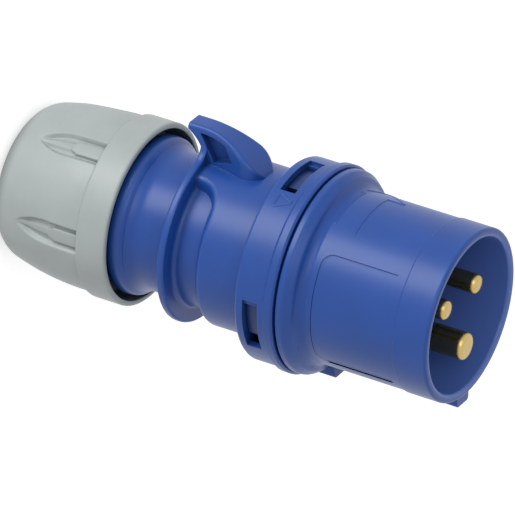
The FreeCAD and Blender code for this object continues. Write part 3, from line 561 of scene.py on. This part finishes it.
def nut_outline():
    """Closed outline as (radius, height): out over the back, up the side, down the hollow."""
    points = straight((HOLE_R, 0.0), (BACK_R - 0.2, 0.0), 3)
    points += bulge((BACK_R, 0.0), SHOULDER, SHOULDER_BEND, SHOULDER_STEPS)
    points += bulge(SHOULDER, (BODY_R, RING_BACK), BODY_BEND, BODY_STEPS)
    # Step with rounded corners from the body to the ring.
    points += [(BODY_R, RING_BACK), (BODY_R + 0.01, RING_BACK + 0.04),
               (BODY_R + 0.1, RING_BACK + 0.13), (RING_R - 0.2, RING_BACK + 0.4),
               (RING_R - 0.04, RING_BACK + 0.54), (RING_R, RING_BACK + 0.75)]
    points += straight((RING_R, RING_BACK + 1.0), (RING_R, MOUTH - 1.0), 4)
    points += bulge((RING_R, MOUTH - MOUTH_EDGE), (RING_R - MOUTH_EDGE, MOUTH), MOUTH_EDGE, 5)
    # Lip of the mouth and its bore.
    points += [(RING_R - MOUTH_EDGE, MOUTH), (MOUTH_BORE + 0.4, MOUTH),
               (MOUTH_BORE + 0.15, MOUTH - 0.05), (MOUTH_BORE + 0.03, MOUTH - 0.2),
               (MOUTH_BORE, MOUTH - 0.5), (MOUTH_BORE, MOUTH - 1.7),
               (MOUTH_BORE, RING_BACK + 1.8), (MOUTH_BORE, RING_BACK + 1.0)]
    # Slope to the thread's bore, room of the thrust ring, and the floor with its hole.
    points += [(MOUTH_BORE - 0.2, RING_BACK + 0.75), (THREAD_BORE + 0.2, RING_BACK - 0.5),
               (THREAD_BORE + 0.02, RING_BACK - 0.8), (THREAD_BORE, RING_BACK - 1.4),
               (THREAD_BORE, ROOM_TOP + 0.3), (THREAD_BORE - 0.2, ROOM_TOP + 0.02),
               (ROOM_BORE + 0.2, ROOM_TOP), (ROOM_BORE, ROOM_TOP - 0.2),
               (ROOM_BORE, FLOOR_TOP + 0.3), (ROOM_BORE - 0.3, FLOOR_TOP),
               (HOLE_R + 0.3, FLOOR_TOP), (HOLE_R, FLOOR_TOP - 0.2), (HOLE_R, 0.4)]
    return points


def nut_angles():
    """Angles once round the nut, close together at its flutes."""
    fine = round(2 * FINE_HALF / FINE_STEP) + 1
    plain = PITCH - 2 * FINE_HALF
    angles = []
    for flute in range(FLUTES):
        middle = flute * PITCH
        angles += [middle - FINE_HALF + FINE_STEP * k for k in range(fine)]
        angles += [middle + FINE_HALF + plain * k / PLAIN_STEPS for k in range(1, PLAIN_STEPS)]
    return angles


def gland_nut():
    """Gland nut with its six sculpted flutes, turned as one grid."""
    outline = nut_outline()
    angles = nut_angles()
    verts = []
    for radius, height in outline:
        outside = radius > SHOULDER[0] and height < RING_BACK + TINY
        for angle in angles:
            inward = (angle + PITCH / 2) % PITCH - PITCH / 2
            depth = flute_depth(math.radians(inward) * radius, height) if outside else 0
            verts.append(on_wall(radius - depth, angle + NUT_TURN, height))
    nut = rings("sculpted_nut", verts, len(outline), len(angles), GREY, NUT)
    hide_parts("gland_nut")


# Lip of the threaded neck, in the mouth of the nut

# Outline as (radius, height), closed by its last point inside the neck.
LIP_PROFILE = [(18.8, 38.6), (19.06, 38.34), (19.31, 38.1), (19.52, 37.9), (19.71, 37.71),
               (19.88, 37.47), (20.01, 37.17), (20.12, 36.6), (20.2, 36.0), (20.26, 35.3),
               (20.27, 34.8), (20.18, 34.5), (19.95, 34.35), (18.6, 34.3), (18.6, 37.6)]
LIP_SIDES = 120


def neck_flare():
    """Lip of the neck that leaves its flare smoothly and ends inside the nut."""
    verts = [on_wall(radius, 360 / LIP_SIDES * k, height)
             for radius, height in LIP_PROFILE for k in range(LIP_SIDES)]
    lip = rings("neck_flare", verts, len(LIP_PROFILE), LIP_SIDES, BLUE, HOUSING)


gland_nut()
neck_flare()


# Narrow mouldings and lines on the walls

# Sections as (offset across the line, height over the wall).
GROOVE = [(-0.7, -0.02), (-0.25, 0.02), (-0.11, 0.028), (0.0, 0.01), (0.11, 0.028),
          (0.25, 0.02), (0.7, -0.02)]
SLIT = [(-1.3, -0.02), (-0.8, 0.05), (-0.55, 0.07), (0.0, 0.01), (0.55, 0.07), (0.8, 0.05),
        (1.3, -0.02)]
RIDGE = [(-0.4, -0.03), (-0.26, 0.13), (-0.1, 0.2), (0.1, 0.2), (0.26, 0.13), (0.4, -0.03)]
# The rows of faces at the bottom of a groove or slit, which carry a painted shade.
SHADED_ROWS = (2, 3)
# An open line ends this deep in the wall, and its path has a point at about each step.
SUNK = 0.05
PATH_STEP = 0.5
ARC_STEPS = 8


def unrolled(points, wall):
    """Wall's (angle, height) points laid flat, as lengths."""
    return [Vector((math.radians(angle) * wall, height)) for angle, height in points]


def corner_arc(before, here, after, radius):
    """Points of the arc that rounds a corner of a flat path."""
    back = (before - here).normalized()
    onward = (after - here).normalized()
    half = math.acos(max(-1.0, min(1.0, back.dot(onward)))) / 2
    middle = here + (back + onward).normalized() * (radius / math.sin(half))
    first = here + back * (radius / math.tan(half)) - middle
    last = here + onward * (radius / math.tan(half)) - middle
    return [middle + first.lerp(last, k / ARC_STEPS).normalized() * radius
            for k in range(ARC_STEPS + 1)]


def rounded_path(corners, radius, wall, closed=False):
    """Path through (angle, height) corners with arcs in them, as many (angle, height)."""
    flat = unrolled(corners, wall)
    count = len(flat)
    bends = []
    for i, here in enumerate(flat):
        if not closed and i in (0, count - 1):
            bends.append(here)
        else:
            bends += corner_arc(flat[i - 1], here, flat[(i + 1) % count], radius)
    path = []
    for start, end in zip(bends, bends[1:] + bends[:1] if closed else bends[1:]):
        parts = max(1, int((end - start).length / PATH_STEP))
        path += straight(start, end, parts)
    if not closed:
        path.append(bends[-1])
    return [(math.degrees(spot[0] / wall), spot[1]) for spot in path]


def strip(name, path, wall, section, looks, body, closed=False):
    """Narrow moulding that follows a path of (angle, height) round a wall.

    A second look, when given, paints shade on the bottom of its section.
    """
    flat = unrolled(path, wall)
    count = len(flat)
    verts = []
    for i, spot in enumerate(flat):
        before = flat[(i - 1) % count] if closed or i else spot
        after = flat[(i + 1) % count] if closed or i < count - 1 else spot
        run = (after - before).normalized()
        across = Vector((-run[1], run[0]))
        ended = not closed and i in (0, count - 1)
        for offset, rise in section:
            place = spot + across * offset
            radius = wall + (-SUNK if ended else rise)
            verts.append(on_wall(radius, math.degrees(place[0] / wall), place[1]))
    wide = len(section)
    faces = []
    for i in range(count if closed else count - 1):
        for j in range(wide - 1):
            n = (i + 1) % count
            faces.append((i * wide + j, i * wide + j + 1, n * wide + j + 1, n * wide + j))
    made = piece(name, verts, faces, looks, body)
    if len(looks) > 1:
        for i, face in enumerate(made.data.polygons):
            face.material_index = int(i % (wide - 1) in SHADED_ROWS)


# Outline of the field moulded into the near side of the sleeve: angles of its two sides,
# heights of its front end, of its back and of the end beside the slit.
FIELD_SIDES = (46.5, 129)
FIELD_FRONT = 113.0
FIELD_BACK = 92.7
FIELD_END = 96.5
FIELD_CORNER = 3.0
# Parting slit along the field's lower side, with a point each millimetre.
SLIT_BACK = 94.8
SLIT_LENGTH = 19
# Triangle on the collar that marks the locked position, as (angle, height).
TRIANGLE = [(32.4, 76.5), (27.5, 80.9), (23.3, 76.7)]
# Plain arrow round the sleeve in the locking direction, open at its tail.
ARROW = [(31, 97.6), (-14, 97.6), (-14, 102.6), (-33, 94.5), (-14, 88.4), (-14, 91.5),
         (27, 91.5)]
RIDGE_CORNER = 0.3


def sleeve_field():
    """Outline of the field on the sleeve, a groove with a painted shade in its bottom."""
    near, low = FIELD_SIDES
    corners = [(near, FIELD_FRONT), (near, FIELD_BACK), (low, FIELD_BACK), (low, FIELD_END)]
    strip("sleeve_field", rounded_path(corners, FIELD_CORNER, SLEEVE_R), SLEEVE_R, GROOVE,
          (BLUE, GROOVE_SHADE_BLUE), SLEEVE)


def sleeve_slit():
    """Slit beside the field, its bottom painted dark as shade."""
    path = [(FIELD_SIDES[1], SLIT_BACK + k) for k in range(SLIT_LENGTH + 1)]
    strip("sleeve_slit", path, SLEEVE_R, SLIT, (BLUE, SLIT_SHADE_BLUE), SLEEVE)


def ridge(name, corners, wall, body, closed=False):
    """Low rounded ridge along a path with small corners."""
    path = rounded_path(corners, RIDGE_CORNER, wall, closed)
    strip(name, path, wall, RIDGE, (BLUE,), body, closed)


sleeve_field()
sleeve_slit()
ridge("collar_triangle", TRIANGLE, COLLAR_R, HOUSING, closed=True)
ridge("turn_arrow", ARROW, SLEEVE_R, SLEEVE)
